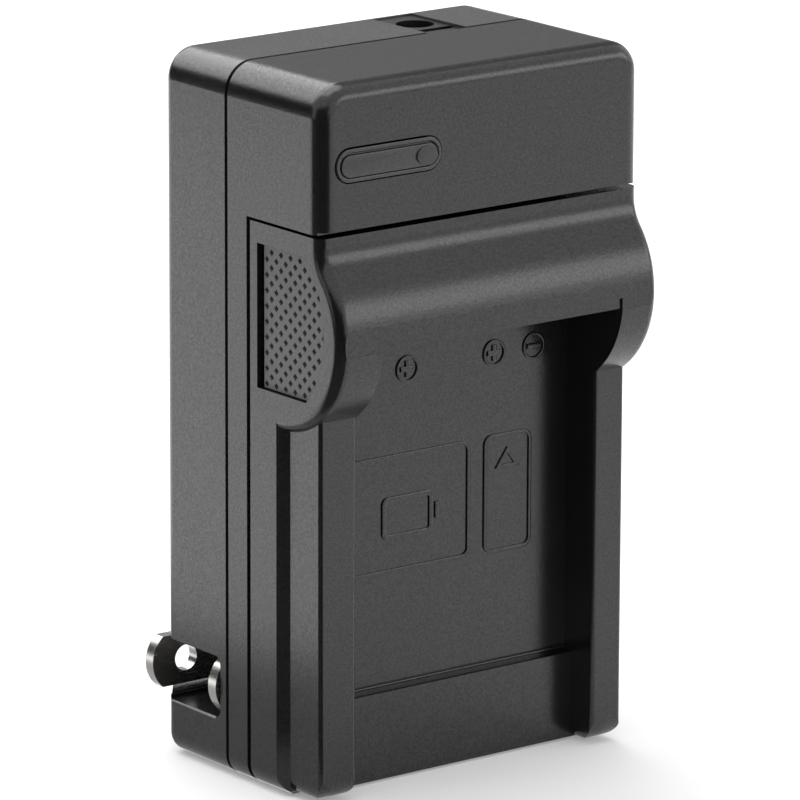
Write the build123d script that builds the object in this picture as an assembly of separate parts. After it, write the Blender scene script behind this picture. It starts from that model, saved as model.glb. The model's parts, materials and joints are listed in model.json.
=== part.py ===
from build123d import *
import math
import os

# Wall charger for flat camera batteries.
# X points right seen from the front, the front faces -Y and Z points up.
# Y = 0 is the parting plane of the two housing shells and Z = 0 is the bottom.
# All lengths are in millimetres and all angles in degrees.

# Housing shells
body_width = 47.4
body_height = 86.3
rear_depth = 12.4
strip_depth = 4.25
header_depth = 18.5
header_height = 17.4
wall = 1.8
deck_wall = 1.6
top_corner = 3.8
bottom_corner = 2.6
inner_corner = 0.7
back_round = 1.7
header_round = 2.0
header_notch = 0.34
header_notch_depth = 1.0
rear_draft = 0.5
groove_width = 0.57
groove_depth = 0.6
lip_wall = 0.8
lip_height = 1.5
lip_gap = 0.2
pick = 0.05

# Swinging mains plug
slot_bottom = 6.7
slot_height = 7.6
slot_wall = 1.15
slot_corner = 1.0
slot_edge = 0.25
sill_height = 0.4
sill_width = 0.8
pocket_wall = 1.2
blade_width = 6.3
blade_thickness = 1.5
blade_pitch = 12.7
blade_length = 16.5
blade_hole = 3.2
blade_hole_from_tip = 4.9
blade_tip_sag = 1.5
blade_proud = 0.5
blade_gap = 0.25
rotor_cover = 0.9
rotor_face_proud = 0.3
rotor_gap = 0.35
pin_diameter = 2.0
pin_gap = 0.08
pin_bite = 1.0

# Leaf springs that feed the swung-out blades
spring_width = 2.4
spring_thickness = 0.4
spring_gap = 0.25
window_gap = 0.2
spring_rise = 3.0
line_offset = 1.6
strap_width = 1.2
strap_height = 3.0
strap_clear = 1.2

# Charging plate
seam_gap = 0.35
plate_foot = 0.3
lip_front = 18.3
lip_drop = 1.1
flank_front = 10.0
flank_rebate = 0.4
flank_rebate_depth = 0.8
roll_radius = 12.3
roll_blend = 4.7
roll_end_round = 1.4
rail_front = 17.2
rail_inset = 1.0
rail_width_left = 5.3
rail_width_right = 4.5
rail_foot_round = 3.0
rail_outer_corner = 2.0
rail_inner_corner = 1.2
rail_chamfer = 1.4
rail_round = 0.5
bay_floor = 11.9
bay_ceiling_drop = 1.3
bay_lip_recess = 0.4
mouth_flat_depth = 0.12
panel_height = 10.95
panel_proud = 1.25
floor_wall = 1.6
plate_wall = 1.8
guide_lip_depth = 1.5
guide_lip_reach = 1.5
guide_thickness = 1.6
guide_gap = 0.3
guide_stem = 1.5
guide_bottom = 0.6
guide_drop = 6.5

# Grip pads in the plate's sides
grip_back = 6.3
grip_low_reach = 7.7
grip_high_reach = 9.6
grip_corner_front = 15.7
grip_bulge_front = 19.1
grip_bulge_rise = 1.5
grip_depth = 1.1
grip_pad_thickness = 0.6
grip_side_gap = 0.75
grip_fit = 0.12
pit_pitch_y = 1.82
pit_pitch_z = 1.86
pit_width = 0.9
pit_depth = 0.36
pit_margin = 0.5

# Indicator in the header
indicator_inset = 2.0
indicator_rise = 7.9
indicator_length = 15.6
indicator_height = 4.3
indicator_depth = 1.0
indicator_rim = 0.42
indicator_slope = 0.3
indicator_gap = 0.2
indicator_sink = 0.4
indicator_proud = 0.15
fit_gap = 0.1
led_inset = 2.35
led_proud = 0.1
led_diameter = 2.2
led_flange = 0.8
led_flange_rim = 0.4
led_nose_chamfer = 0.25
lead_size = 0.5
lead_pitch = 2.0

# Low-voltage inlet in the top
inlet_x = 8.95
inlet_width = 5.8
inlet_length = 12.0
inlet_back = 10.5
inlet_sink = 0.3
inlet_bore = 4.6
inlet_bore_depth = 9.5
inlet_bore_y = 6.1
inlet_pin = 1.4
inlet_pin_short = 1.0

# Circuit
board_y = 1.6
board_thickness = 1.2
board_side_gap = 1.9
board_bottom_gap = 1.7
board_top_gap = 0.7
post_diameter = 4.0
peg_diameter = 1.6
peg_gap = 0.1
peg_proud = 0.4
post_inset = 3.0
core_width = 12.0
core_height = 12.4
core_depth = 11.0
core_leg = 3.0
core_side_gap = 1.6
core_rise = 8.1
coil_gap = 0.1
coil_depth = 5.6
coil_round = 0.8
input_cap_diameter = 8.0
input_cap_length = 12.5
input_cap_led_gap = 0.95
output_cap_diameter = 5.0
output_cap_length = 9.0
output_cap_side_gap = 3.0
cap_rise = 8.6
rectifier_width = 6.4
rectifier_depth = 2.6
rectifier_height = 5.0
rectifier_chamfer = 0.4
rectifier_inset = 11.0
rectifier_rise = 12.8
chip_width = 4.0
chip_depth = 1.5
chip_height = 5.0
chip_inset = 12.0
chip_rise = 26.8
chip_leg_rows = 4
chip_leg_reach = 1.0
chip_leg_width = 0.4
chip_leg_pitch = 1.27
fuse_diameter = 2.6
fuse_length = 7.0
fuse_lead = 0.7
fuse_inset = 10.0
fuse_rise = 8.8

# Contacts between deck, plate and battery
contact_left_x = -6.0
contact_middle_x = 7.0
contact_right_x = 13.0
contact_width = 2.2
contact_thickness = 0.35
contact_gap = 0.2
contact_tail = 4.0
contact_drop = 2.2
contact_front = 14.6
contact_bend = 0.6
contact_slot_gap = 0.25
terminal_width = 3.0
terminal_height = 5.0
terminal_head = 0.6
terminal_stem = 1.2

# Places worked out from the sizes above
half_width = body_width / 2
header_bottom = body_height - header_height
plate_top = header_bottom - seam_gap
plate_back = strip_depth + guide_gap
slot_top = slot_bottom + slot_height
slot_middle = slot_bottom + slot_height / 2
inner_blade_y = slot_wall + blade_gap + blade_thickness / 2
outer_blade_y = inner_blade_y + blade_pitch
pivot_y = (inner_blade_y + outer_blade_y) / 2
rotor_face = rear_depth + rotor_face_proud - pivot_y
rotor_radius = blade_pitch / 2 + blade_thickness / 2 + rotor_cover
rotor_corner = math.hypot(rotor_radius, rotor_face)
rotor_height = slot_height - 2 * rotor_gap
tip_reach = rotor_face + blade_length
neutral_offset = blade_pitch / 2
spring_climb = rotor_radius + rotor_gap + pocket_wall + window_gap + spring_thickness / 2
pivot_x = -half_width - blade_proud + tip_reach
board_back_y = board_y + board_thickness
board_half = half_width - wall - board_side_gap
board_bottom = slot_top + pocket_wall + board_bottom_gap
board_top = body_height - wall - board_top_gap
rectifier_x = -board_half + rectifier_inset
rectifier_z = board_bottom + rectifier_rise
chip_x = board_half - chip_inset
chip_z = board_bottom + chip_rise
fuse_x = board_half - fuse_inset
fuse_z = board_bottom + fuse_rise
indicator_x = -half_width + indicator_inset + indicator_length / 2
indicator_z = header_bottom + indicator_rise
led_x = indicator_x + indicator_length / 2 - led_inset
led_flange_edge = led_x + led_diameter / 2 + led_flange_rim
input_cap_x = led_flange_edge + input_cap_led_gap + input_cap_diameter / 2
core_x = half_width - wall - core_side_gap - core_width / 2
core_z = header_bottom + core_rise
output_cap_x = -half_width + wall + output_cap_side_gap + output_cap_diameter / 2
cap_z = header_bottom + cap_rise
blend_out = lip_front + roll_blend - flank_front
blend_rise = math.sqrt((roll_radius + roll_blend)**2 - blend_out**2)
blend_height = plate_top - lip_drop
roll_centre_height = blend_height - blend_rise
bay_ceiling = roll_centre_height - bay_ceiling_drop
rail_outer = half_width - rail_inset
bay_left = rail_outer - rail_width_left
bay_right = rail_outer - rail_width_right
floor_back = bay_floor - floor_wall
channel_half = half_width - plate_wall
guide_half = channel_half - guide_lip_reach
ceiling_top = bay_ceiling + floor_wall
terminal_z = ceiling_top + contact_thickness / 2 + contact_tail / 2
contact_xs = {"left": contact_left_x, "middle": contact_middle_x, "right": contact_right_x}
post_x = board_half - post_inset
post_z = (board_bottom + board_top) / 2
post_places = [(-post_x, post_z), (post_x, post_z)]
guide_top = plate_top - guide_drop
grip_bottom = roll_centre_height - grip_low_reach
grip_top = roll_centre_height + grip_high_reach
grip_bulge_height = roll_centre_height + grip_bulge_rise

rear_plane = Plane(origin=(0, 0, 0), x_dir=(-1, 0, 0), z_dir=(0, 1, 0))


def box(x0, x1, y0, y1, z0, z1):
    """Block between two corners."""
    size = Box(x1 - x0, y1 - y0, z1 - z0)
    return Pos((x0 + x1) / 2, (y0 + y1) / 2, (z0 + z1) / 2) * size


def rectangle(x0, x1, y0, y1):
    """Flat rectangle between two corners."""
    return Pos((x0 + x1) / 2, (y0 + y1) / 2) * Rectangle(x1 - x0, y1 - y0)


def rod(x, z, y0, y1, diameter):
    """Round bar along Y."""
    return extrude(Plane.XZ.offset(-y1) * Pos(x, z) * Circle(diameter / 2), y1 - y0)


def outline(inset):
    """Front view of the housing, drawn in by an inset."""
    size = Rectangle(body_width - 2 * inset, body_height - 2 * inset)
    face = Pos(0, body_height / 2) * size
    high = max(top_corner - inset, inner_corner)
    low = max(bottom_corner - inset, inner_corner)
    face = fillet(face.vertices().group_by(Axis.Y)[-1], high)
    return fillet(face.vertices().group_by(Axis.Y)[0], low)


def rear_block():
    """Drafted block of the rear half."""
    return rear_plane.location * extrude(outline(0), rear_depth, taper=rear_draft)


def front_block(inset, depth):
    """Straight block of the front half."""
    return extrude(Plane.XZ * outline(inset), depth)


def above(height):
    """Everything of the housing above a height."""
    span = 2 * body_height
    return box(-span, span, -span, span, height, height + span)


def swing_room(grow):
    """Room in which the rotor turns, open to the back, with its walls grown outwards."""
    radius = rotor_radius + rotor_gap + grow
    sweep = rotor_corner + rotor_gap + grow
    back = rear_depth + rotor_radius
    plan = Pos(pivot_x, pivot_y) * Circle(radius)
    plan += rectangle(pivot_x, pivot_x + radius, pivot_y, back)
    plan += rectangle(pivot_x - sweep, pivot_x, pivot_y - radius, back)
    return extrude(Plane.XY.offset(slot_bottom - grow) * plan, slot_height + 2 * grow)


def blade_slot(grow, front):
    """Slot for the stowed blade, open to the left side and the back."""
    left = -half_width - rotor_radius
    back = rear_depth + rotor_radius
    return box(left, pivot_x, front, back, slot_bottom - grow, slot_top + grow)


def slot_edge_wedge():
    """Wedge that breaks the outer edge of the slot's floor on the left side."""
    edge = -half_width
    profile = Polyline(
        (edge + slot_edge, slot_bottom),
        (edge - slot_edge, slot_bottom - 2 * slot_edge),
        (edge - slot_edge, slot_bottom),
        close=True,
    )
    length = rear_depth - slot_wall - slot_corner
    return extrude(Plane.XZ.offset(-rear_depth) * make_face(profile), length)


def spring_plane(offset_x):
    """Upright plane through the pivot and a place on the drum, as far to the right as given."""
    across = offset_x / rotor_radius
    along = math.sqrt(1 - across**2)
    radial = Vector(across, -along, 0)
    return Plane(origin=(pivot_x, pivot_y, 0), x_dir=radial, z_dir=radial.cross(Vector(0, 0, 1)))


def inlet_notch(y0, y1):
    """Notch through the top wall that the low-voltage inlet fills."""
    half = inlet_width / 2 + fit_gap
    return box(inlet_x - half, inlet_x + half, y0, y1, body_height - 2 * wall, body_height)


def make_rear_shell():
    """Drafted tray with the plug pocket, the inlet notch and posts for the board."""
    block = rear_block()
    block = fillet(block.faces().sort_by(Axis.Y)[-1].edges(), back_round)
    shell = block - extrude(rear_plane * outline(wall), rear_depth - wall)

    reach = rotor_corner + rotor_gap + pocket_wall
    bulge = box(pivot_x - reach, pivot_x + reach, -reach, 0, 0, body_height)
    walls = swing_room(pocket_wall) + blade_slot(pocket_wall, 0)
    shell += walls & (block + bulge)
    slot = blade_slot(0, slot_wall)
    slot = fillet(slot.edges().filter_by(Axis.X).group_by(Axis.Y)[0], slot_corner)
    sill_front = rear_depth - sill_width
    slot -= box(-body_width, 0, sill_front, body_width, slot_bottom, slot_bottom + sill_height)
    shell -= swing_room(0) + slot + slot_edge_wedge()
    shell -= make_pivot_pin()
    tall = spring_thickness / 2 + window_gap
    for offset_x in (line_offset, neutral_offset):
        window = rectangle(rotor_radius, reach, slot_middle - tall, slot_middle + tall)
        shell -= extrude(spring_plane(offset_x) * window, spring_width / 2 + window_gap, both=True)

    shell -= inlet_notch(0, inlet_back + fit_gap)
    for x, z in post_places:
        shell += rod(x, z, board_back_y, rear_depth - wall, post_diameter)
        shell += rod(x, z, board_y - peg_proud, board_back_y, peg_diameter)
    return shell


def guide_rail(side):
    """L-shaped guide on the deck that holds one lip of the plate."""
    stem_out = guide_half - guide_gap
    stem_front = plate_back + guide_lip_depth + guide_gap
    flange_out = channel_half - guide_gap
    stem_in = stem_out - guide_stem
    stem = box(stem_in, stem_out, -stem_front, -strip_depth, guide_bottom, guide_top)
    flange_front = stem_front + guide_thickness
    flange = box(stem_in, flange_out, -flange_front, -stem_front, guide_bottom, guide_top)
    rail = stem + flange
    return rail if side > 0 else mirror(rail, Plane.YZ)


def make_front_shell():
    """Deck, header block, guide rails and the lip that enters the rear shell."""
    header = front_block(0, header_depth) & above(header_bottom)
    front_edges = header.faces().sort_by(Axis.Y)[0].edges()
    header = fillet(front_edges.filter_by(lambda e: e.center().Z > header_bottom + pick), header_round)
    shell = header + front_block(0, strip_depth)
    shell -= front_block(wall, strip_depth - deck_wall)
    shell -= front_block(wall, header_depth - wall) & above(header_bottom + wall)
    shell -= front_block(0, groove_width) - front_block(groove_depth, groove_width)
    notch_back = -header_depth + header_notch_depth
    notch_top = header_bottom + header_notch
    shell -= box(-half_width, half_width, -header_depth, notch_back, header_bottom, notch_top)

    ring = outline(wall + lip_gap) - outline(wall + lip_gap + lip_wall)
    lip = extrude(rear_plane * ring, lip_height)
    gap = pocket_wall + lip_gap
    lip -= box(-half_width, 0, 0, lip_height, slot_bottom - gap, slot_top + gap)
    lip -= inlet_notch(0, lip_height)
    root = outline(wall) - outline(wall + lip_gap + lip_wall)
    shell += lip + extrude(Plane.XZ * root, lip_height)
    top = body_height - inlet_sink
    half = inlet_width / 2
    shell += box(inlet_x - half, inlet_x + half, -wall, board_y - fit_gap, top - wall, top)
    shell += guide_rail(-1) + guide_rail(1)

    shell -= extrude(indicator_pill(header_depth, 0), -indicator_depth)
    shell -= rod(led_x, indicator_z, -header_depth, -header_depth + wall, led_diameter + 2 * fit_gap)
    for x in contact_xs.values():
        shell -= terminal_pin(x, fit_gap)
    return shell


def indicator_pill(depth, inset):
    """Outline of the indicator at a depth in front of the parting plane, drawn in by an inset."""
    pill = SlotOverall(indicator_length - 2 * inset, indicator_height - 2 * inset)
    return Plane.XZ.offset(depth) * Pos(indicator_x, indicator_z) * pill


def make_indicator_window():
    """Pill-shaped insert with a raised rim and sloping walls down to a sunk floor round the LED."""
    back = header_depth - indicator_depth
    floor = header_depth - indicator_sink
    crest = header_depth + indicator_proud
    window = extrude(indicator_pill(back, indicator_gap), crest - back)
    mouth = indicator_gap + indicator_rim
    bottom = indicator_pill(floor, mouth + indicator_slope)
    window -= loft([bottom.face(), indicator_pill(crest, mouth).face()])
    return window - rod(led_x, indicator_z, -2 * header_depth, 0, led_diameter + 2 * fit_gap)


def make_status_led():
    """Flat-nosed LED with its flange behind the header wall and two leads to the board."""
    back = -header_depth + wall
    nose = -header_depth + indicator_sink - led_proud
    led = rod(led_x, indicator_z, nose, back, led_diameter)
    led = chamfer(led.faces().sort_by(Axis.Y)[0].edges(), led_nose_chamfer)
    led += rod(led_x, indicator_z, back, back + led_flange, led_diameter + 2 * led_flange_rim)
    for side in (-1, 1):
        x = led_x + side * lead_pitch / 2
        half = lead_size / 2
        led += box(x - half, x + half, back + led_flange, board_y, indicator_z - half, indicator_z + half)
    return led


def make_dc_inlet():
    """Socket body on the board, flush in the top, with its round hole."""
    half = inlet_width / 2
    top = body_height - inlet_sink
    body = box(inlet_x - half, inlet_x + half, board_back_y, inlet_back, top - inlet_length, top)
    hole = Cylinder(inlet_bore / 2, inlet_bore_depth)
    return body - Pos(inlet_x, inlet_bore_y, top - inlet_bore_depth / 2) * hole


def make_dc_inlet_pin():
    """Centre pin that stands on the floor of the socket's hole."""
    bottom = body_height - inlet_sink - inlet_bore_depth
    length = inlet_bore_depth - inlet_pin_short
    return Pos(inlet_x, inlet_bore_y, bottom + length / 2) * Cylinder(inlet_pin / 2, length)


def make_plug_rotor():
    """D-shaped carrier: a half drum behind the flat face that the blades stand out of."""
    plan = Pos(pivot_x, pivot_y) * Circle(rotor_radius)
    plan += rectangle(
        pivot_x - rotor_face,
        pivot_x,
        pivot_y - rotor_radius,
        pivot_y + rotor_radius,
    )
    plan &= rectangle(
        pivot_x - rotor_face,
        pivot_x + rotor_radius,
        pivot_y - rotor_radius,
        pivot_y + rotor_radius,
    )
    low = slot_bottom + rotor_gap
    rotor = extrude(Plane.XY.offset(low) * plan, rotor_height)
    rotor -= Pos(pivot_x, pivot_y, slot_middle) * Cylinder(pin_diameter / 2 + pin_gap, slot_height)
    for y in (inner_blade_y, outer_blade_y):
        rotor -= blade_blank(y)
    return rotor - line_strap()


def drum():
    """Full cylinder of the rotor."""
    return Pos(pivot_x, pivot_y, slot_middle) * Cylinder(rotor_radius, 2 * slot_height)


def line_strap():
    """Strap from the inner blade's root round the pin to the drum's surface at the line spring."""
    near = pivot_x + pin_diameter / 2 + strap_clear
    middle = pivot_y + line_offset
    low = slot_middle - strap_height / 2
    high = slot_middle + strap_height / 2
    edge = middle + strap_width / 2
    strap = box(near, near + strap_width, inner_blade_y + blade_thickness / 2, edge, low, high)
    strap += box(near, pivot_x + rotor_radius, middle - strap_width / 2, edge, low, high)
    return strap & drum()


def blade_blank(y):
    """Flat blade with a round-nosed tip and a root flush with the rotor's back, without its hole."""
    tip = pivot_x - tip_reach
    root = pivot_x + rotor_radius
    half = blade_width / 2
    shoulder = tip + blade_tip_sag
    low = slot_middle - half
    high = slot_middle + half
    edges = Polyline((shoulder, low), (root, low), (root, high), (shoulder, high))
    edges += ThreePointArc((shoulder, high), (tip, slot_middle), (shoulder, low))
    blank = extrude(Plane.XZ.offset(-y - blade_thickness / 2) * make_face(edges), blade_thickness)
    return blank & (drum() + box(tip, pivot_x, 0, 2 * outer_blade_y, 0, body_height))


def make_blade(y):
    """Blade with the round hole near its tip."""
    x = pivot_x - tip_reach + blade_hole_from_tip
    return blade_blank(y) - rod(x, slot_middle, y - blade_thickness, y + blade_thickness, blade_hole)


def make_pivot_pin():
    """Steel pin on which the rotor swings."""
    return Pos(pivot_x, pivot_y, slot_middle) * Cylinder(pin_diameter / 2, slot_height + 2 * pin_bite)


def spring_leaf(offset_x, *points):
    """Bent leaf in the upright plane of one spring."""
    leaf = spring_plane(offset_x) * trace(Polyline(*points), spring_thickness)
    return extrude(leaf, spring_width / 2, both=True)


def make_neutral_spring():
    """Leaf that reaches through the pocket wall and climbs to the board's lower edge."""
    start = (rotor_radius + spring_gap, slot_middle)
    return spring_leaf(neutral_offset, start, (spring_climb, slot_middle), (spring_climb, board_bottom))


def make_line_spring():
    """Leaf that reaches through the pocket wall and climbs to the front of the board."""
    foot = board_bottom + spring_rise
    leaf = spring_leaf(
        line_offset,
        (rotor_radius + spring_gap, slot_middle),
        (spring_climb, slot_middle),
        (spring_climb, foot),
        (pivot_y - board_back_y, foot),
    )
    return leaf & box(-half_width, half_width, -header_depth, board_y, 0, body_height)


def make_circuit_board():
    """Board pegged to the rear shell's posts."""
    board = box(-board_half, board_half, board_y, board_back_y, board_bottom, board_top)
    board = chamfer(board.edges().filter_by(Axis.Y), top_corner - wall)
    for x, z in post_places:
        board -= rod(x, z, board_y, board_back_y, peg_diameter + 2 * peg_gap)
    return board


def coil_room(grow):
    """Space inside the core's frame that the winding fills."""
    half_w = core_width / 2 - core_leg + grow
    half_h = core_height / 2 - core_leg / 2 + grow
    front = board_y - core_depth / 2 - coil_depth / 2
    low = core_z - half_h
    return box(core_x - half_w, core_x + half_w, front, front + coil_depth, low, low + 2 * half_h)


def make_transformer_core():
    """Ferrite frame of the transformer, standing on the front of the board."""
    half_w = core_width / 2
    half_h = core_height / 2
    front = board_y - core_depth
    frame = box(core_x - half_w, core_x + half_w, front, board_y, core_z - half_h, core_z + half_h)
    return frame - coil_room(coil_gap)


def make_transformer_coil():
    """Taped winding with rounded corners."""
    coil = coil_room(0)
    return fillet(coil.edges().filter_by(Axis.Y), coil_round)


def make_capacitor(x, diameter, length):
    """Sleeved can that stands on the front of the board."""
    return rod(x, cap_z, board_y - length, board_y, diameter)


def make_bridge_rectifier():
    """Moulded rectifier on the back of the board."""
    half = rectifier_width / 2
    tall = rectifier_height / 2
    back = board_back_y + rectifier_depth
    low = rectifier_z - tall
    body = box(rectifier_x - half, rectifier_x + half, board_back_y, back, low, rectifier_z + tall)
    return chamfer(body.faces().sort_by(Axis.Y)[-1].edges(), rectifier_chamfer)


def make_control_chip():
    """Control circuit on two rows of legs, on the back of the board."""
    half = chip_width / 2
    tall = chip_height / 2
    low = board_back_y + chip_leg_width / 2
    chip = box(chip_x - half, chip_x + half, low, low + chip_depth, chip_z - tall, chip_z + tall)
    reach = half + chip_leg_reach
    for row in range(chip_leg_rows):
        z = chip_z + (row - (chip_leg_rows - 1) / 2) * chip_leg_pitch
        low = z - chip_leg_width / 2
        back = board_back_y + chip_leg_width
        chip += box(chip_x - reach, chip_x + reach, board_back_y, back, low, low + chip_leg_width)
    return chip


def make_fuse():
    """Axial fuse on a square wire that bends down to the board at both ends."""
    y = board_back_y + fuse_diameter / 2 + fuse_lead
    span = fuse_length / 2 + 2 * fuse_lead
    half = fuse_lead / 2
    fuse = Pos(fuse_x, y, fuse_z) * Rot(0, 90, 0) * Cylinder(fuse_diameter / 2, fuse_length)
    wire = rectangle(fuse_x - span - half, fuse_x + span + half, board_back_y, y + half)
    wire -= rectangle(fuse_x - span + half, fuse_x + span - half, board_back_y, y - half)
    return fuse + extrude(Plane.XY.offset(fuse_z - half) * wire, fuse_lead)


def terminal_pin(x, grow):
    """Flat head flush in the deck and a stem back to the board, both grown by a gap."""
    head = terminal_width / 2 + grow
    tall = terminal_height / 2 + grow
    low = terminal_z - tall
    pin = box(x - head, x + head, -strip_depth, -strip_depth + terminal_head, low, low + 2 * tall)
    stem = terminal_stem / 2 + grow
    return pin + box(x - stem, x + stem, -strip_depth, board_y, terminal_z - stem, terminal_z + stem)


def roll_outline():
    """Side view of the roll: a short lip, a hollow blend and a long round."""
    turn = math.acos(blend_out / (roll_radius + roll_blend))
    blend_y = -lip_front - roll_blend
    half_turn = turn / 2
    lip_end = (-lip_front, blend_height)
    middle = (blend_y + roll_blend * math.cos(half_turn), blend_height - roll_blend * math.sin(half_turn))
    join = (-flank_front - roll_radius * math.cos(turn), roll_centre_height + roll_radius * math.sin(turn))
    crown = (-flank_front - roll_radius, roll_centre_height)
    foot = (-flank_front, roll_centre_height - roll_radius)
    edges = Polyline(foot, (-flank_front, plate_top), (-lip_front, plate_top), lip_end)
    edges += ThreePointArc(lip_end, middle, join)
    edges += ThreePointArc(join, crown, foot)
    return make_face(edges)


def make_roll():
    """Bulging upper part of the plate with rounded ends."""
    roll = extrude(Plane.YZ * roll_outline(), half_width, both=True)
    ends = roll.edges().filter_by(
        lambda e: abs(e.center().X) > half_width - pick
        and e.center().Y < -flank_front - pick
        and e.center().Z < plate_top - pick
    )
    return fillet(ends, roll_end_round)


def roll_room():
    """Hollow of the roll above the bay's ceiling, where the contacts sit."""
    room = offset(roll_outline(), -plate_wall, kind=Kind.INTERSECTION)
    solid = extrude(Plane.YZ * room, channel_half - roll_end_round, both=True)
    solid += box(-channel_half, channel_half, -bay_floor, 0, ceiling_top, plate_top - plate_wall)
    return solid & above(ceiling_top)


def rail_bar(inner):
    """Bar of a rail: rounded front edges in plan, a round-cornered foot in the front and side views."""
    plan = rectangle(inner, rail_outer, -rail_front, -flank_front)
    plan = fillet(plan.vertices().group_by(Axis.Y)[0], rail_round)
    front = rectangle(inner, rail_outer, plate_foot, roll_centre_height)
    low = front.vertices().group_by(Axis.Y)[0].sort_by(Axis.X)
    front = fillet(low[-1], rail_outer_corner)
    front = fillet(front.vertices().group_by(Axis.Y)[0].sort_by(Axis.X)[0], rail_inner_corner)
    side = rectangle(-rail_front, 0, plate_foot, roll_centre_height)
    side = fillet(side.vertices().group_by(Axis.Y)[0].sort_by(Axis.X)[0], rail_foot_round)
    bar = extrude(plan, roll_centre_height)
    return bar & extrude(Plane.XZ * front, rail_front) & extrude(Plane.YZ * side, half_width)


def side_rail(side):
    """Rail beside the bay, chamfered in from the plate's flank."""
    inner = bay_right if side > 0 else bay_left
    shoulder = -flank_front - rail_chamfer
    plan = Polyline(
        (inner, -plate_back),
        (half_width, -plate_back),
        (half_width, -flank_front),
        (rail_outer, shoulder),
        (inner, shoulder),
        close=True,
    )
    cheek = extrude(Plane.XY.offset(plate_foot) * make_face(plan), roll_centre_height - plate_foot)
    rail = cheek + rail_bar(inner)
    return rail if side > 0 else mirror(rail, Plane.YZ)


def grip_plan(side_gap, fit):
    """Side view of a grip window, with one bowed front edge."""
    back = -grip_back - side_gap
    low = grip_bottom + fit
    high = grip_top - fit
    front = -grip_corner_front + fit
    edges = Polyline((front, low), (back, low), (back, high), (front, high))
    edges += ThreePointArc((front, high), (-grip_bulge_front + fit, grip_bulge_height), (front, low))
    return make_face(edges)


def make_charging_plate():
    """Slide-on plate: roll, flanks, rails, battery bay and the channel for the deck's guides."""
    flanks = box(-half_width, half_width, -flank_front, -plate_back, plate_foot, plate_top)
    seat_left = -bay_left - rail_width_left / 2
    seat_right = bay_right + rail_width_right / 2
    floor = box(seat_left, seat_right, -bay_floor, -flank_front, plate_foot, roll_centre_height)
    panel_front = -bay_floor - panel_proud
    floor += box(seat_left, seat_right, panel_front, -flank_front, plate_foot, panel_height)
    plate = make_roll() + flanks + side_rail(-1) + side_rail(1) + floor

    front = -flank_front - 2 * roll_radius
    plate -= box(-bay_left, bay_right, front, -bay_floor, panel_height, bay_ceiling)
    crown = -flank_front - roll_radius
    plate -= box(-half_width, half_width, front, crown + mouth_flat_depth, bay_ceiling, plate_top)
    plate -= box(-bay_left, bay_right, front, crown + bay_lip_recess, bay_ceiling, roll_centre_height)
    plate -= box(-guide_half, guide_half, -floor_back, 0, -wall, body_height)
    lip_back = -plate_back - guide_lip_depth
    plate -= box(-channel_half, channel_half, -floor_back, lip_back, -wall, body_height)
    plate -= roll_room()
    for x in contact_xs.values():
        half = contact_width / 2 + contact_slot_gap
        near = -contact_front - contact_thickness / 2 - contact_slot_gap
        far = -contact_front + contact_thickness / 2 + contact_slot_gap
        plate -= box(x - half, x + half, near, far, bay_ceiling, ceiling_top)
    rebate_in = half_width - flank_rebate_depth
    for side in (-1, 1):
        window = Plane.YZ.offset(side * half_width) * grip_plan(0, 0)
        plate -= extrude(window, -side * grip_depth)
        near, far = sorted((side * rebate_in, side * half_width))
        plate -= box(near, far, -plate_back - flank_rebate, -plate_back, 0, body_height)
    return plate & front_block(0, 2 * header_depth)


def pit_places():
    """Centres of the diamond pits: two grids, each set in the middle of the other's cells."""
    field = offset(grip_plan(grip_side_gap, grip_fit), -pit_margin, kind=Kind.INTERSECTION).face()
    bounds = field.bounding_box()
    columns = math.ceil(bounds.size.X / pit_pitch_y)
    rows = math.ceil(bounds.size.Y / pit_pitch_z)
    places = []
    for shift in (0, 0.5):
        for column in range(columns + 1):
            for row in range(rows + 1):
                y = bounds.max.X - (column + shift) * pit_pitch_y
                z = bounds.min.Y + (row + shift) * pit_pitch_z
                if field.is_inside((y, z, 0)):
                    places.append((y, z))
    return places


def make_grip_pad(side):
    """Pad on the floor of its window, with a field of diamond pits."""
    face = Plane.YZ.offset(side * (half_width - grip_depth))
    pad = extrude(face * grip_plan(grip_side_gap, grip_fit), side * grip_pad_thickness)
    top = Plane.YZ.offset(side * (half_width - grip_depth + grip_pad_thickness))
    diamond = Rot(0, 0, 45) * Rectangle(pit_width / math.sqrt(2), pit_width / math.sqrt(2))
    pit = loft([diamond.face(), Vertex(0, 0, pit_depth)])
    if side > 0:
        pit = mirror(pit, Plane.XY)
    return pad - [top * Pos(y, z) * pit for y, z in pit_places()]


def make_contact(x):
    """Leaf on the bay's ceiling: its tail wipes the deck terminal, its nose meets the battery."""
    bed = ceiling_top + contact_thickness / 2
    tail_y = -strip_depth - contact_gap - contact_thickness / 2
    path = FilletPolyline(
        (tail_y, bed + contact_tail),
        (tail_y, bed),
        (-contact_front, bed),
        (-contact_front, bay_ceiling - contact_drop),
        radius=contact_bend,
    )
    leaf = Plane.YZ.offset(x) * trace(path, contact_thickness)
    return extrude(leaf, contact_width / 2, both=True)


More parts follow.
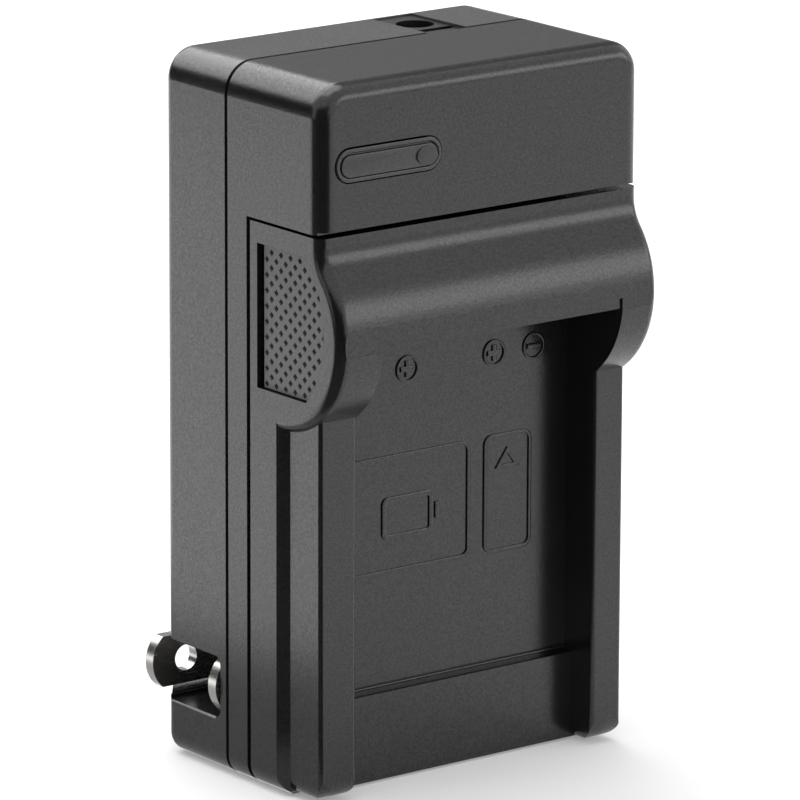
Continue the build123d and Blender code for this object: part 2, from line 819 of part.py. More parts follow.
pieces = {
    "rear_shell": make_rear_shell(),
    "front_shell": make_front_shell(),
    "indicator_window": make_indicator_window(),
    "status_led": make_status_led(),
    "dc_inlet": make_dc_inlet(),
    "dc_inlet_pin": make_dc_inlet_pin(),
    "plug_rotor": make_plug_rotor(),
    "plug_blade_inner": make_blade(inner_blade_y) + line_strap(),
    "plug_blade_outer": make_blade(outer_blade_y),
    "pivot_pin": make_pivot_pin(),
    "line_spring": make_line_spring(),
    "neutral_spring": make_neutral_spring(),
    "circuit_board": make_circuit_board(),
    "transformer_core": make_transformer_core(),
    "transformer_coil": make_transformer_coil(),
    "input_capacitor": make_capacitor(input_cap_x, input_cap_diameter, input_cap_length),
    "output_capacitor": make_capacitor(output_cap_x, output_cap_diameter, output_cap_length),
    "bridge_rectifier": make_bridge_rectifier(),
    "control_chip": make_control_chip(),
    "fuse": make_fuse(),
    "charging_plate": make_charging_plate(),
    "left_grip_pad": make_grip_pad(-1),
    "right_grip_pad": make_grip_pad(1),
}
for place, x in contact_xs.items():
    pieces["terminal_" + place] = terminal_pin(x, 0)
    pieces["contact_" + place] = make_contact(x)

os.makedirs("parts", exist_ok=True)
for name, piece in pieces.items():
    export_step(piece, f"parts/{name}.step")
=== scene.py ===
import json
import math

import bpy
import numpy as np
from mathutils import Matrix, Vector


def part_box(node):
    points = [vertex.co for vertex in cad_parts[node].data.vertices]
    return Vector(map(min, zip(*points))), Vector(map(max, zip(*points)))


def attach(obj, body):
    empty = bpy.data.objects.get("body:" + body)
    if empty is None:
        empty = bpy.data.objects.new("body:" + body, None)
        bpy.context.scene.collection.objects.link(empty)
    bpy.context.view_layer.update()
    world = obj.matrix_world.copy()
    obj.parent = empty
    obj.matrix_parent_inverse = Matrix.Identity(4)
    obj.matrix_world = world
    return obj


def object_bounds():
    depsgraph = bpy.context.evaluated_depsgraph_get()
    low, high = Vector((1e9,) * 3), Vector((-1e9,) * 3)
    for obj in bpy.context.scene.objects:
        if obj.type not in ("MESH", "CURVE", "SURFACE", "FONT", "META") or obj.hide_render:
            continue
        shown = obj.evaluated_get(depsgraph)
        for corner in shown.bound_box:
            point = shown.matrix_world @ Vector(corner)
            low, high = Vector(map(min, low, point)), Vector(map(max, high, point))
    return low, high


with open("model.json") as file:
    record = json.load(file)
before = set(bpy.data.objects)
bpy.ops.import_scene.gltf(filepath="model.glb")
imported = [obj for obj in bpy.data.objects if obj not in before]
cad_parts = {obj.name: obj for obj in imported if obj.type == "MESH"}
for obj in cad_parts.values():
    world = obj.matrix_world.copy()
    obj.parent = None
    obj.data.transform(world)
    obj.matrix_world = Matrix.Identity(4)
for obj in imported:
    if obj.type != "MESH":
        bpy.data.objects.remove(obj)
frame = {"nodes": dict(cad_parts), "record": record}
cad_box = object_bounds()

# Looks of a wall charger for flat camera batteries.
# Blender's unit is the metre, and sizes below are millimetres times MM.
# X points right seen from the front, the front faces -Y and Z points up.

MM = 0.001

# Ridges on the floor of the battery bay. They start a little below it, their walls are upright up to the
# shoulder's share of the height, and an edge that turns further than crisp_turn stays sharp.
bay_floor_y = -11.9 * MM
relief_sink = 0.1 * MM
ridge_shoulder = 0.8
ridge_steps = 7
corner_cosine = 0.35
crisp_turn = math.radians(38)
frame_ridge_width = 0.42 * MM
frame_ridge_height = 0.22 * MM
mark_ridge_width = 0.6 * MM
mark_ridge_height = 0.22 * MM
ring_ridge_width = 0.3 * MM

# Ringed signs below the contacts
mark_drop = 3.5 * MM
mark_radius = 1.5 * MM
sign_reach = 0.98 * MM

# Framed fields, corners as X and Z: one with the outline of a battery, one with an arrow head
note_frame_low = (-16.6 * MM, 25.3 * MM)
note_frame_high = (3.2 * MM, 39.2 * MM)
arrow_frame_low = (5.75 * MM, 25.15 * MM)
arrow_frame_high = (12.5 * MM, 39.3 * MM)
frame_corner = 1.0 * MM
battery_low = (-9.4 * MM, 29.4 * MM)
battery_high = (-2.4 * MM, 34.0 * MM)
battery_corner = 0.6 * MM
battery_cap_length = 0.9 * MM
battery_cap_half = 1.0 * MM
arrow_centre = (9.1 * MM, 36.4 * MM)
arrow_half_width = 1.4 * MM
arrow_half_height = 0.95 * MM

# Bead at the foot of the bay floor
panel_bead_width = 0.3 * MM
panel_bead_height = 0.42 * MM
panel_bead_low = (-17.1 * MM, 11.52 * MM)
panel_bead_high = (17.9 * MM, 11.52 * MM)

# Ledge on the back under the stowed outer blade: its section across the back and the slant of its left end
# The ledge is painted shade: dark plastic put under the blade, where the gap shows only shade.
ledge_out = np.array([12.2, 15.1, 15.5, 15.5, 15.38, 15.2, 12.2]) * MM
ledge_height = np.array([5.0, 6.3, 6.6, 7.05, 7.16, 7.2, 7.2]) * MM
ledge_left = -22.75 * MM
ledge_right = -12.5 * MM
ledge_slant = 0.774

# Face of the indicator window: a rim, a moat and a lens that sits a little low and to the right
window_low, window_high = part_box("indicator_window")
window_back = 0.7 * MM
window_arc_steps = 25
rim_crest = 0.05 * MM
rim_width = 0.42 * MM
rim_steps = 7
moat_inset = np.array([0.46, 0.6, 0.63, 0.67, 0.74]) * MM
moat_rise = np.array([-0.3, -0.3, -0.08, -0.02, 0.0]) * MM
moat_drift = np.array([0.0, 0.12, 0.12, 0.12, 0.12]) * MM

# Cap of the LED, on the lens
led_low, led_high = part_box("status_led")
led_cap_drop = 0.2 * MM
led_cap_half = (1.5 * MM, 1.14 * MM)
led_cap_rise = 0.2 * MM
led_cap_edge = 0.06 * MM
led_cap_steps = 48
led_edge_steps = 4

# Moulded plastics in common: gloss, flow clouds, spark-eroded grain, and painted light that pales the top
# above a height
plastic_ior = 1.5
plastic_warmth = -0.012
cloud_size = 9 * MM
cloud_gloss = 0.06
grain_gloss = 0.05
grain_contrast = 4.0
grain_share = 0.6
grain_sheen = 0.4
tone_spread = 0.5
top_light_line = 84.6 * MM
top_light_fade = 1.2 * MM
top_light_level = 0.1

# Each plastic: name, grey level, roughness, grain size, grain depth, share of painted light on the top
plastics = {
    "housing": ("housing_plastic", 0.011, 0.2, 0.26 * MM, 0.022 * MM, 0.0),
    "rear_shell": ("rear_plastic", 0.014, 0.2, 0.24 * MM, 0.02 * MM, 0.55),
    "plate": ("plate_plastic", 0.009, 0.2, 0.26 * MM, 0.018 * MM, 0.0),
    "window": ("window_plastic", 0.026, 0.24, 0.14 * MM, 0.012 * MM, 0.0),
    "inlet": ("inlet_plastic", 0.008, 0.3, 0.2 * MM, 0.014 * MM, 0.0),
    "rotor": ("rotor_plastic", 0.008, 0.3, 0.2 * MM, 0.014 * MM, 0.0),
}

# Each metal: name, darker and paler colour, roughness, size and depth of the brushing
metals = {
    "blade": ("nickel_plate", (0.5, 0.49, 0.47), (0.68, 0.67, 0.65), 0.2, 0.12 * MM, 0.004 * MM),
    "steel": ("ground_steel", (0.5, 0.5, 0.51), (0.62, 0.62, 0.63), 0.22, 0.1 * MM, 0.002 * MM),
    "spring_brass": ("rolled_brass", (0.62, 0.44, 0.18), (0.75, 0.55, 0.25), 0.25, 0.1 * MM, 0.002 * MM),
    "terminal": ("tinned_terminal", (0.6, 0.58, 0.52), (0.72, 0.7, 0.64), 0.28, 0.1 * MM, 0.002 * MM),
    "contact": ("gilded_leaf", (0.72, 0.54, 0.26), (0.83, 0.65, 0.34), 0.2, 0.1 * MM, 0.002 * MM),
}
brush_stretch = (0.06, 1.0, 1.0)
tarnish_size = 3 * MM

# Each pressed, taped or cast piece: name, darker and paler colour, roughness, grain size, grain depth
castings = {
    "ferrite": ("ferrite_block", (0.035, 0.035, 0.035), (0.07, 0.07, 0.07), 0.5, 0.3 * MM, 0.02 * MM),
    "winding_tape": ("winding_tape", (0.5, 0.34, 0.03), (0.62, 0.44, 0.06), 0.35, 0.8 * MM, 0.01 * MM),
    "capacitor_sleeve": (
        "capacitor_sleeve", (0.012, 0.014, 0.03), (0.02, 0.024, 0.05), 0.3, 1.2 * MM, 0.006 * MM
    ),
    "chip_resin": ("chip_resin", (0.016, 0.016, 0.016), (0.032, 0.032, 0.032), 0.5, 0.12 * MM, 0.01 * MM),
    "fuse_body": ("fuse_body", (0.42, 0.36, 0.26), (0.52, 0.46, 0.35), 0.4, 0.5 * MM, 0.008 * MM),
}

# Grip pad: where its face stands, the depth at which its pits are dark with painted shade, greys of the face
# and of the pit shade
grip_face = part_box("right_grip_pad")[1][0]
grip_pit_shade_fade = 0.054 * MM
grip_face_greys = (0.072, 0.122)
grip_pit_shade_grey = 0.02
grip_grain_size = 0.2 * MM
grip_grain_depth = 0.012 * MM
grip_wear_size = 2.4 * MM

# LED resin and board lacquer
led_greys = (0.024, 0.036)
led_mottle_size = 0.6 * MM
board_green_low = (0.006, 0.06, 0.022)
board_green_high = (0.012, 0.11, 0.04)
board_weave_size = 0.5 * MM
board_cloud_size = 3 * MM

# Camera, placed by its bearing from the object
camera_bearing = math.radians(-37.746)
camera_height_angle = math.radians(14.323)
camera_roll = math.radians(0.21)
camera_distance = 854.028 * MM
camera_right = 1.897 * MM
camera_up = 41.041 * MM
camera_lens = 318.2
camera_film = 36.0
camera_clip = 20.0

# Studio in metres. Softboxes: place, size and radiance; they and the standing cards look at the aim.
aim = (0.0, 0.0, 45 * MM)
softboxes = {
    "back_softbox": ((0.0, 0.8, 0.75), (1.3, 0.8), 1.55),
    "top_softbox": ((0.0, 0.1, 0.9), (0.8, 0.8), 1.92),
    "right_softbox": ((0.6, -0.65, 0.29), (0.8, 0.3), 1.48),
}

# Cards that lie just above the floor: lift, level and corners. A later one covers those below it.
lying_cards = {
    "back_sheet": (0.4 * MM, 1.75, [(-0.5, -0.02), (-0.02, -0.02), (-0.02, 0.55), (-0.5, 0.55)]),
    # The dim card by the left side is a painted shadow: the object's shade on the floor, as the gloss of its
    # lower side mirrors it.
    "painted_floor_shadow": (0.6 * MM, 0.48, [(-0.0645, -0.006), (-0.02, -0.03), (-0.02, 0.09), (-0.0472, 0.09)]),
    "front_mat": (0.8 * MM, 0.0, [(-0.9, -0.9), (0.0, -0.9), (-0.02, -0.03), (-0.9, 0.6)]),
    "corner_mat": (1.0 * MM, 0.1, [(-0.165, -0.14), (-0.03, -0.14), (-0.025, -0.025), (-0.165, 0.0)]),
}

# Cards that stand: place, size and level
standing_cards = {
    "front_flag": ((-0.61, -0.43, 0.16), (1.3, 0.5), 0.0),
    "back_flag": ((-0.27, 0.345, 0.115), (0.42, 0.2), 0.0),
    "back_card": ((0.3, 0.38, 0.2), (0.5, 0.26), 0.28),
    "right_card": ((0.32, 0.22, 0.42), (0.3, 0.3), 0.3),
}
cloth_weave_size = 4 * MM
cloth_weave_spread = 0.05

# Floor and background
floor_reach = 3.0
floor_drop = 0.02 * MM
floor_greys = (0.84, 0.88)
floor_lift = 0.25
paper_grain_size = 6 * MM
world_light = 0.45

square = np.array([(-1, -1), (1, -1), (1, 1), (-1, 1)])


class Wire:
    """One output of a material's nodes; arithmetic on it adds Math nodes."""

    def __init__(self, tree, socket):
        self.tree = tree
        self.socket = socket

    def node(self, kind, settings, sockets, output=0):
        """Adds a node, its settings first and then its sockets' values or links, and gives an output."""
        made = self.tree.nodes.new(kind)
        for name, value in settings.items():
            setattr(made, name, value)
        for name, value in sockets.items():
            if isinstance(value, Wire):
                self.tree.links.new(value.socket, made.inputs[name])
            else:
                made.inputs[name].default_value = value
        return Wire(self.tree, made.outputs[output])

    def maths(self, operation, first, second=0.0):
        """A Math node on one or two values."""
        return self.node("ShaderNodeMath", {"operation": operation}, {0: first, 1: second})

    def __add__(self, other):
        return self.maths("ADD", self, other)

    def __radd__(self, other):
        return self.maths("ADD", other, self)

    def __sub__(self, other):
        return self.maths("SUBTRACT", self, other)

    def __rsub__(self, other):
        return self.maths("SUBTRACT", other, self)

    def __mul__(self, other):
        return self.maths("MULTIPLY", self, other)

    def __rmul__(self, other):
        return self.maths("MULTIPLY", other, self)

    def __truediv__(self, other):
        return self.maths("DIVIDE", self, other)

    def __abs__(self):
        return self.maths("ABSOLUTE", self)

    def clamp(self):
        """The value held between 0 and 1."""
        return self.node("ShaderNodeClamp", {}, {"Value": self})

    def blend(self, low, high):
        """The colour low where the value is 0 and high where it is 1."""
        return self.node("ShaderNodeMix", {"data_type": "RGBA"}, {0: self, 6: low, 7: high}, 2)

    def along(self, axis):
        """One coordinate of this place."""
        return self.node("ShaderNodeSeparateXYZ", {}, {"Vector": self}, axis)

    def noise(self, size, detail=2.0, roughness=0.5):
        """Noise whose lumps are about as large as the size given, read at this place."""
        sockets = {"Vector": self, "Scale": 1.0 / size, "Detail": detail, "Roughness": roughness}
        return self.node("ShaderNodeTexNoise", {}, sockets)

    def bump(self, depth):
        """A normal from this height, where 1 stands as high as the depth given."""
        return self.node("ShaderNodeBump", {}, {"Height": self, "Distance": depth, "Strength": 1.0})


def grey(level, warmth=0.0):
    """Linear colour of a grey, a little warmer or cooler."""
    return (level * (1 + warmth), level, level * (1 - warmth), 1.0)


def solid(colour):
    """A colour with full cover."""
    return (*colour, 1.0)


def new_material(name):
    """A new material, its Principled shader and the place on the piece."""
    material = bpy.data.materials.new(name)
    material.use_nodes = True
    tree = material.node_tree
    shader = next(node for node in tree.nodes if node.type == "BSDF_PRINCIPLED")
    place = Wire(tree, None).node("ShaderNodeTexCoord", {}, {}, "Object")
    return material, shader, place


def plug_in(shader, **sockets):
    """Sets or links the shader's sockets; words in a name are joined by underscores."""
    for name, value in sockets.items():
        socket = shader.inputs[name.replace("_", " ").title().replace("Ior", "IOR")]
        if isinstance(value, Wire):
            value.tree.links.new(value.socket, socket)
        else:
            socket.default_value = value


def moulded_plastic(name, level, roughness, grain_size, grain_depth, top_light):
    """Black moulded plastic: spark-eroded grain in height, tone and sheen, faint clouds, painted light on
    top.
    """
    material, shader, place = new_material(name)
    grain = place.noise(grain_size, detail=3.0, roughness=0.6)
    clouds = place.noise(cloud_size)
    speckle = (grain_contrast * (grain - 0.5) + 0.5).clamp()
    tone = (1 - grain_share) * clouds + grain_share * speckle
    dark = grey(level * (1 - tone_spread), plastic_warmth)
    pale = grey(level * (1 + tone_spread), plastic_warmth)
    colour = tone.blend(dark, pale)
    # Painted light: above a set height the colour pales to a light grey, a lighter top where the light
    # falls.
    if top_light:
        top_lit = ((place.along("Z") - top_light_line) / top_light_fade).clamp() * (0.8 + 0.4 * clouds)
        colour = (top_light * top_lit).blend(colour, grey(top_light_level))
    plug_in(
        shader,
        base_color=colour,
        roughness=roughness - 0.05 + cloud_gloss * clouds + grain_gloss * grain,
        coat_weight=grain_sheen * speckle,
        coat_roughness=roughness,
        normal=grain.bump(grain_depth),
        ior=plastic_ior,
    )
    return material


def lattice_plastic():
    """Grip pad: pale worn lattice over pits darkened by painted shade, told apart by depth below the pad's
    face.
    """
    material, shader, place = new_material("grip_lattice")
    depth = ((grip_face - abs(place.along("X"))) / grip_pit_shade_fade).clamp()
    grain = place.noise(grip_grain_size, detail=3.0, roughness=0.6)
    worn = (0.6 * grain + 0.4 * place.noise(grip_wear_size)).clamp()
    face = worn.blend(grey(grip_face_greys[0]), grey(grip_face_greys[1]))
    plug_in(
        shader,
        # Painted shade: the colour darkens with depth below the pad's face, as shade falls in the pits.
        base_color=depth.blend(face, grey(grip_pit_shade_grey)),
        roughness=0.42 + 0.2 * depth + 0.08 * grain,
        normal=grain.bump(grip_grain_depth),
    )
    return material


def smoked_lens():
    """LED nose: smoked resin with a faint mottle and a glossy skin."""
    material, shader, place = new_material("led_lens")
    mottle = place.noise(led_mottle_size)
    plug_in(
        shader,
        base_color=mottle.blend(grey(led_greys[0]), grey(led_greys[1])),
        roughness=0.22 + 0.06 * mottle,
        coat_weight=0.06 * mottle,
    )
    return material


def plated_metal(name, low, high, roughness, brush_size, brush_depth):
    """Plated or bright metal: fine brushing along X and a slow drift in tone."""
    material, shader, place = new_material(name)
    stretched = place.node("ShaderNodeMapping", {}, {"Vector": place, "Scale": brush_stretch})
    brushing = stretched.noise(brush_size, detail=3.0, roughness=0.65)
    drift = place.noise(tarnish_size)
    plug_in(
        shader,
        base_color=drift.blend(solid(low), solid(high)),
        metallic=1.0,
        roughness=roughness + 0.08 * brushing + 0.05 * drift,
        normal=brushing.bump(brush_depth),
    )
    return material


def fibre_board():
    """Green lacquered board with its glass weave showing through."""
    material, shader, place = new_material("board_lacquer")
    weave = place.node("ShaderNodeTexChecker", {}, {"Vector": place, "Scale": 1.0 / board_weave_size}, "Fac")
    clouds = place.noise(board_cloud_size)
    tone = (0.25 * weave + 0.75 * clouds).clamp()
    plug_in(
        shader,
        base_color=tone.blend(solid(board_green_low), solid(board_green_high)),
        roughness=0.34 + 0.1 * weave,
        coat_weight=0.3 + 0.1 * clouds,
    )
    return material


def cast_block(name, low, high, roughness, grain_size, grain_depth):
    """Pressed, taped or cast piece: grain in colour, gloss and height."""
    material, shader, place = new_material(name)
    grain = place.noise(grain_size, detail=4.0, roughness=0.6)
    plug_in(
        shader,
        base_color=grain.blend(solid(low), solid(high)),
        roughness=roughness + 0.12 * grain,
        normal=grain.bump(grain_depth),
    )
    return material


def make_finishes():
    """One material for each slot of the record, and one for the rear shell with painted light on its top."""
    finishes = {slot: moulded_plastic(*row) for slot, row in plastics.items()}
    finishes.update({slot: plated_metal(*row) for slot, row in metals.items()})
    finishes.update({slot: cast_block(*row) for slot, row in castings.items()})
    finishes.update({"grip": lattice_plastic(), "led": smoked_lens(), "board": fibre_board()})
    return finishes


def dress_nodes(finishes):
    """Gives every solid its own finish, or else the finish of its slot in the record."""
    for row in frame["record"]["subparts"]:
        node = frame["nodes"][row["node"]]
        for slot in node.material_slots:
            slot.material = finishes.get(row["node"], finishes[row["material_slot"]])


def rounded_rectangle(low, high, corner, steps=8):
    """Closed path: a quarter circle at each corner, its angle running on through the four."""
    low, high = np.array(low), np.array(high)
    turn = np.linspace(0, math.pi / 2, steps)
    quarter = np.arange(4)
    angle = (turn[None, :] + quarter[:, None] * math.pi / 2).ravel()
    centre_x = np.where((quarter == 0) | (quarter == 3), high[0] - corner, low[0] + corner)
    centre_z = np.where(quarter < 2, high[1] - corner, low[1] + corner)
    x = np.repeat(centre_x, steps) + corner * np.cos(angle)
    z = np.repeat(centre_z, steps) + corner * np.sin(angle)
    return np.column_stack([x, z])


def circle(centre, radius, steps=40):
    """Closed path: centre plus radius times the cosine and sine of a full turn."""
    angle = np.linspace(0, 2 * math.pi, steps, endpoint=False)
    return np.column_stack([centre[0] + radius * np.cos(angle), centre[1] + radius * np.sin(angle)])


def straight(start, end):
    """Open path of one run."""
    return np.array([start, end])


def ridge_section(width, height):
    """Section of a ridge: upright walls from below the floor to the shoulder, and a half-ellipse on top."""
    angle = np.linspace(0, math.pi, ridge_steps)
    shoulder = ridge_shoulder * height
    across = np.concatenate([[width / 2], width / 2 * np.cos(angle), [-width / 2]])
    crown = shoulder + (height - shoulder) * np.sin(angle)
    rise = np.concatenate([[-relief_sink], crown, [-relief_sink]])
    return across, rise


def grid_faces(rows, columns, wrap_rows):
    """Quads of a grid whose columns close on themselves, and whose rows may."""
    row = np.arange(rows if wrap_rows else rows - 1)[:, None]
    column = np.arange(columns)[None, :]
    here, after = row * columns, (row + 1) % rows * columns
    beside = (column + 1) % columns
    quads = np.stack([here + column, here + beside, after + beside, after + column], axis=-1)
    return quads.reshape(-1, 4)


def swept_ridge(path, width, height, closed=True):
    """Ridge on the bay floor: at each path point the section stands across the mean of both runs.

    A point is path + normal * across, and its height is the floor plus the section's rise.
    The normal is lengthened at a corner by one over the cosine of half the turn.
    An open path ends in two capping polygons. The quads are turned round to face outwards.
    """
    if closed:
        before = path - np.roll(path, 1, axis=0)
        after = np.roll(path, -1, axis=0) - path
    else:
        run = np.diff(path, axis=0)
        before = np.vstack([run[:1], run])
        after = np.vstack([run, run[-1:]])
    before = before / np.linalg.norm(before, axis=1, keepdims=True)
    after = after / np.linalg.norm(after, axis=1, keepdims=True)
    mean = before + after
    mean = mean / np.linalg.norm(mean, axis=1, keepdims=True)
    stretch = 1 / np.clip((mean * after).sum(axis=1), corner_cosine, 1)
    normal = np.column_stack([mean[:, 1], -mean[:, 0]]) * stretch[:, None]
    across, rise = ridge_section(width, height)
    flat = path[:, None, :] + normal[:, None, :] * across[None, :, None]
    y = np.broadcast_to(bay_floor_y - rise[None, :], flat.shape[:2])
    points = np.stack([flat[..., 0], y, flat[..., 1]], axis=-1).reshape(-1, 3)
    rows, columns = flat.shape[:2]
    faces = [tuple(quad) for quad in grid_faces(rows, columns, closed)[:, ::-1].tolist()]
    if not closed:
        faces.append(tuple(range(columns)))
        faces.append(tuple(range(rows * columns - 1, (rows - 1) * columns - 1, -1)))
    return points, faces


def capped_rings(x, y, z):
    """Points and faces of rings laid over each other, the first and the last closed by a polygon."""
    points = np.stack([x, y, z], axis=-1).reshape(-1, 3)
    rows, columns = x.shape
    faces = [tuple(quad) for quad in grid_faces(rows, columns, False).tolist()]
    faces.append(tuple(range(columns - 1, -1, -1)))
    faces.append(tuple(range((rows - 1) * columns, rows * columns)))
    return points, faces


def relief_piece(name, forms, finish, body="plate"):
    """Joins closed forms to one mesh that rides on a body and takes the finish of a slot."""
    points, faces, count = [], [], 0
    for form_points, form_faces in forms:
        points.append(form_points)
        faces += [tuple(index + count for index in face) for face in form_faces]
        count += len(form_points)
    mesh = bpy.data.meshes.new(name)
    mesh.from_pydata(np.vstack(points).tolist(), [], faces)
    mesh.polygons.foreach_set("use_smooth", np.ones(len(mesh.polygons), dtype=bool))
    mesh.update()
    mesh.set_sharp_from_angle(angle=crisp_turn)
    piece = bpy.data.objects.new(name, mesh)
    bpy.context.scene.collection.objects.link(piece)
    piece.data.materials.append(finish)
    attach(piece, body)


def sign_strokes(centre, upright):
    """Strokes of a plus or a minus about a centre."""
    x, z = centre
    strokes = [straight((x - sign_reach, z), (x + sign_reach, z))]
    if upright:
        strokes.append(straight((x, z - sign_reach), (x, z + sign_reach)))
    return [swept_ridge(stroke, mark_ridge_width, mark_ridge_height, closed=False) for stroke in strokes]


def make_pole_marks(finish):
    """A ringed plus or minus below each contact leaf."""
    for contact, upright in (("contact_left", True), ("contact_middle", True), ("contact_right", False)):
        low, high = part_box(contact)
        centre = ((low[0] + high[0]) / 2, low[2] - mark_drop)
        ring = swept_ridge(circle(centre, mark_radius), ring_ridge_width, mark_ridge_height)
        relief_piece(contact.replace("contact", "pole_mark"), [ring] + sign_strokes(centre, upright), finish)


def make_note_frame(finish):
    """Framed field of the bay floor with the outline of a battery in it."""
    border = rounded_rectangle(note_frame_low, note_frame_high, frame_corner)
    cell = rounded_rectangle(battery_low, battery_high, battery_corner)
    middle = (battery_low[1] + battery_high[1]) / 2
    end = battery_high[0] + battery_cap_length
    cap = straight((end, middle - battery_cap_half), (end, middle + battery_cap_half))
    relief_piece(
        "note_frame",
        [
            swept_ridge(border, frame_ridge_width, frame_ridge_height),
            swept_ridge(cell, mark_ridge_width, mark_ridge_height),
            swept_ridge(cap, mark_ridge_width, mark_ridge_height, closed=False),
        ],
        finish,
    )


def make_arrow_frame(finish):
    """Upright framed field with an arrow head pointing to the contacts."""
    border = rounded_rectangle(arrow_frame_low, arrow_frame_high, frame_corner)
    x, z = arrow_centre
    head = np.array(
        [
            (x + arrow_half_width, z - arrow_half_height),
            (x, z + arrow_half_height),
            (x - arrow_half_width, z - arrow_half_height),
        ]
    )
    relief_piece(
        "arrow_frame",
        [
            swept_ridge(border, frame_ridge_width, frame_ridge_height),
            swept_ridge(head, frame_ridge_width, mark_ridge_height),
        ],
        finish,
    )


def make_panel_bead(finish):
    """Fine bead across the foot of the bay floor, just above the lower panel."""
    path = straight(panel_bead_low, panel_bead_high)
    bead = swept_ridge(path, panel_bead_width, panel_bead_height, closed=False)
    relief_piece("panel_bead", [bead], finish)


def make_shade_gap_ledge(finish):
    """Ledge under the stowed outer blade, painted shade in its gap: a section carried along X, its left end
    slanting with depth.
    """
    left = ledge_left + ledge_slant * (ledge_out - ledge_out[0])
    x = np.stack([left, np.full(len(ledge_out), ledge_right)])
    y = np.broadcast_to(ledge_out, x.shape)
    z = np.broadcast_to(ledge_height, x.shape)
    relief_piece("shade_gap_ledge", [capped_rings(x, y, z)], finish, "housing")


def make_window_face(finish):
    """Face of the window: a section carried round the pill, closed by its lens and its back.

    A point is the end circle's centre plus the radius less the section's inset along the circle, and it
    stands as high as the section's rise. The section goes up the outer wall, over a half-round rim, down
    into a moat and up to the lens, which drifts a little down and to the right.
    """
    radius = (window_high[2] - window_low[2]) / 2
    middle = (window_high[2] + window_low[2]) / 2
    half_turn = np.linspace(-math.pi / 2, math.pi / 2, window_arc_steps)
    angle = np.concatenate([half_turn, half_turn + math.pi])
    centre = np.repeat([window_high[0] - radius, window_low[0] + radius], len(half_turn))
    crest = np.linspace(math.pi, 0, rim_steps)
    inset = np.concatenate([[0], rim_width / 2 * (1 + np.cos(crest)), moat_inset])
    rise = np.concatenate([[-window_back], rim_crest * np.sin(crest), moat_rise])
    drift = np.concatenate([np.zeros(len(crest) + 1), moat_drift])[:, None]
    x = centre + (radius - inset)[:, None] * np.cos(angle) + drift
    z = middle + (radius - inset)[:, None] * np.sin(angle) - drift
    y = np.broadcast_to((window_low[1] - rise)[:, None], x.shape)
    relief_piece("window_face", [capped_rings(x, y, z)], finish, "housing")


def make_led_cap(finish):
    """Cap of the LED: an oval that shrinks by the inset, with upright wall, rounded edge and flat top."""
    angle = np.linspace(0, 2 * math.pi, led_cap_steps, endpoint=False)
    turn = np.linspace(0, math.pi / 2, led_edge_steps)
    inset = np.concatenate([[0], led_cap_edge * (1 - np.cos(turn))])
    rise = np.concatenate([[-led_cap_rise], led_cap_rise - led_cap_edge * (1 - np.sin(turn))])
    middle_x = (led_low[0] + led_high[0]) / 2
    middle_z = (led_low[2] + led_high[2]) / 2 - led_cap_drop
    x = middle_x + (led_cap_half[0] - inset)[:, None] * np.cos(angle)
    z = middle_z + (led_cap_half[1] - inset)[:, None] * np.sin(angle)
    y = np.broadcast_to((window_low[1] - rise)[:, None], x.shape)
    relief_piece("led_cap", [capped_rings(x, y, z)], finish, "housing")


def camera_axes():
    """Unit vectors to the right, up and back of the camera."""
    turn, rise = camera_bearing, camera_height_angle
    back = np.array([math.sin(turn) * math.cos(rise), -math.cos(turn) * math.cos(rise), math.sin(rise)])
    right = np.array([math.cos(turn), math.sin(turn), 0.0])
    up = np.cross(back, right)
    tilt_right = math.cos(camera_roll) * right + math.sin(camera_roll) * up
    tilt_up = -math.sin(camera_roll) * right + math.cos(camera_roll) * up
    return tilt_right, tilt_up, back


def place_object(thing, right, up, back, place):
    """Sets an object's world matrix, whose columns are its axes and its place."""
    matrix = np.eye(4)
    matrix[:3] = np.column_stack([right, up, back, place])
    thing.matrix_world = Matrix(matrix.tolist())


def make_camera():
    """Camera at the photograph's viewing angle."""
    right, up, back = camera_axes()
    data = bpy.data.cameras.new("camera")
    data.sensor_fit = "HORIZONTAL"
    data.sensor_width = camera_film
    data.lens = camera_lens
    data.clip_end = camera_clip
    camera = bpy.data.objects.new("camera", data)
    bpy.context.scene.collection.objects.link(camera)
    place_object(camera, right, up, back, back * camera_distance + right * camera_right + up * camera_up)
    bpy.context.scene.camera = camera


def facing(place):
    """Axes of a lamp or card at a place that looks at the aim."""
    back = np.array(place) - np.array(aim)
    back = back / np.linalg.norm(back)
    side = np.cross((0.0, 0.0, 1.0), back)
    side = side / np.linalg.norm(side)
    return side, np.cross(back, side), back


def make_softbox(name, place, size, radiance):
    """Rectangular lamp that looks at the object; its power is 4 times area times radiance."""
    data = bpy.data.lights.new(name, "AREA")
    data.shape = "RECTANGLE"
    data.size, data.size_y = size
    data.energy = 4 * size[0] * size[1] * radiance
    lamp = bpy.data.objects.new(name, data)
    bpy.context.scene.collection.objects.link(lamp)
    place_object(lamp, *facing(place), place)


def stage_quad(name, points):
    """Flat quad of the studio through four corners."""
    mesh = bpy.data.meshes.new(name)
    mesh.from_pydata(np.asarray(points).tolist(), [], [(0, 1, 2, 3)])
    quad = bpy.data.objects.new(name, mesh)
    bpy.context.scene.collection.objects.link(quad)
    return quad


def lying_corners(outline, level):
    """Corners of a level quad: its outline from above, at one height."""
    return np.column_stack([outline, np.full(len(outline), level)])


def standing_corners(place, size):
    """Corners of a rectangle that looks at the aim: centre plus half sizes along its axes."""
    side, up, _ = facing(place)
    corners = square / 2 * np.array(size)
    return np.array(place) + corners[:, :1] * side + corners[:, 1:] * up


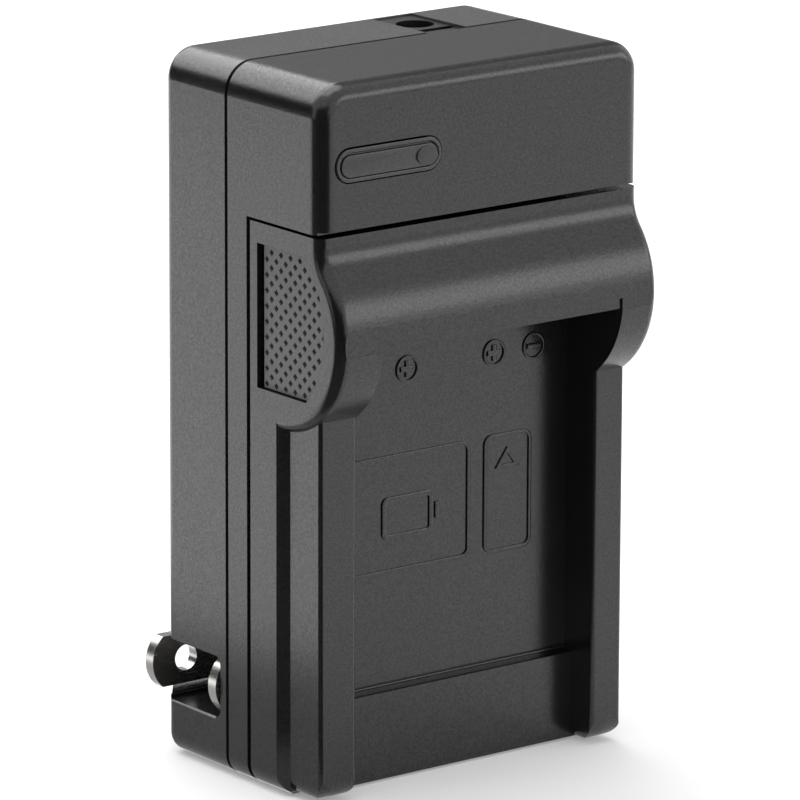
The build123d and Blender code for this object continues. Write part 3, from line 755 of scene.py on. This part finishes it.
def make_card(name, corners, level):
    """Cloth-covered card that only gloss shows, with a level of its own and a faint weave; the dim one by
    the left side is a painted floor shadow.
    """
    card = stage_quad(name, corners)
    material, shader, place = new_material(name + "_cloth")
    weave = place.noise(cloth_weave_size)
    dark, pale = grey(level * (1 - cloth_weave_spread)), grey(level * (1 + cloth_weave_spread))
    plug_in(
        shader,
        base_color=grey(0.0),
        emission_color=weave.blend(dark, pale),
        emission_strength=1.0,
        specular_ior_level=0.0,
    )
    card.data.materials.append(material)
    card.visible_camera = False
    card.visible_diffuse = False
    card.visible_shadow = False


def make_floor():
    """Pale sweep under the object, lifted to the background's white for camera, gloss and clear rays."""
    floor = stage_quad("floor", lying_corners(floor_reach * square, cad_box[0][2] - floor_drop))
    material, shader, place = new_material("pale_floor")
    paper = place.noise(paper_grain_size)
    plug_in(
        shader,
        base_color=paper.blend(grey(floor_greys[0]), grey(floor_greys[1])),
        roughness=0.9,
        emission_color=background_rays(place).blend(grey(0.0), grey(floor_lift)),
        emission_strength=1.0,
        specular_ior_level=0.0,
    )
    floor.data.materials.append(material)


def background_rays(start):
    """1 for rays of the camera, of gloss and of clear pieces, and 0 for the others."""
    path = start.node("ShaderNodeLightPath", {}, {}, "Is Camera Ray")
    rays = path.socket.node.outputs
    seen = path + Wire(path.tree, rays["Is Glossy Ray"]) + Wire(path.tree, rays["Is Transmission Ray"])
    return seen.clamp()


def make_world():
    """White for rays that see the background, and a plain level for the light it gives."""
    world = bpy.data.worlds.new("studio")
    bpy.context.scene.world = world
    world.use_nodes = True
    tree = world.node_tree
    background = next(node for node in tree.nodes if node.type == "BACKGROUND")
    strength = world_light + (1 - world_light) * background_rays(Wire(tree, None))
    tree.links.new(strength.socket, background.inputs["Strength"])
    background.inputs["Color"].default_value = grey(1.0)


def make_studio():
    """Softboxes behind, above and at the front right, cards that the gloss mirrors, floor and background."""
    for name, (place, size, radiance) in softboxes.items():
        make_softbox(name, place, size, radiance)
    for name, (lift, level, outline) in lying_cards.items():
        make_card(name, lying_corners(outline, cad_box[0][2] + lift), level)
    for name, (place, size, level) in standing_cards.items():
        make_card(name, standing_corners(place, size), level)
    make_floor()
    make_world()
    bpy.context.scene.view_settings.view_transform = "Standard"


finishes = make_finishes()
dress_nodes(finishes)
make_pole_marks(finishes["plate"])
make_note_frame(finishes["plate"])
make_arrow_frame(finishes["plate"])
make_panel_bead(finishes["plate"])
make_shade_gap_ledge(finishes["rear_shell"])
make_window_face(finishes["window"])
make_led_cap(finishes["led"])
make_camera()
make_studio()
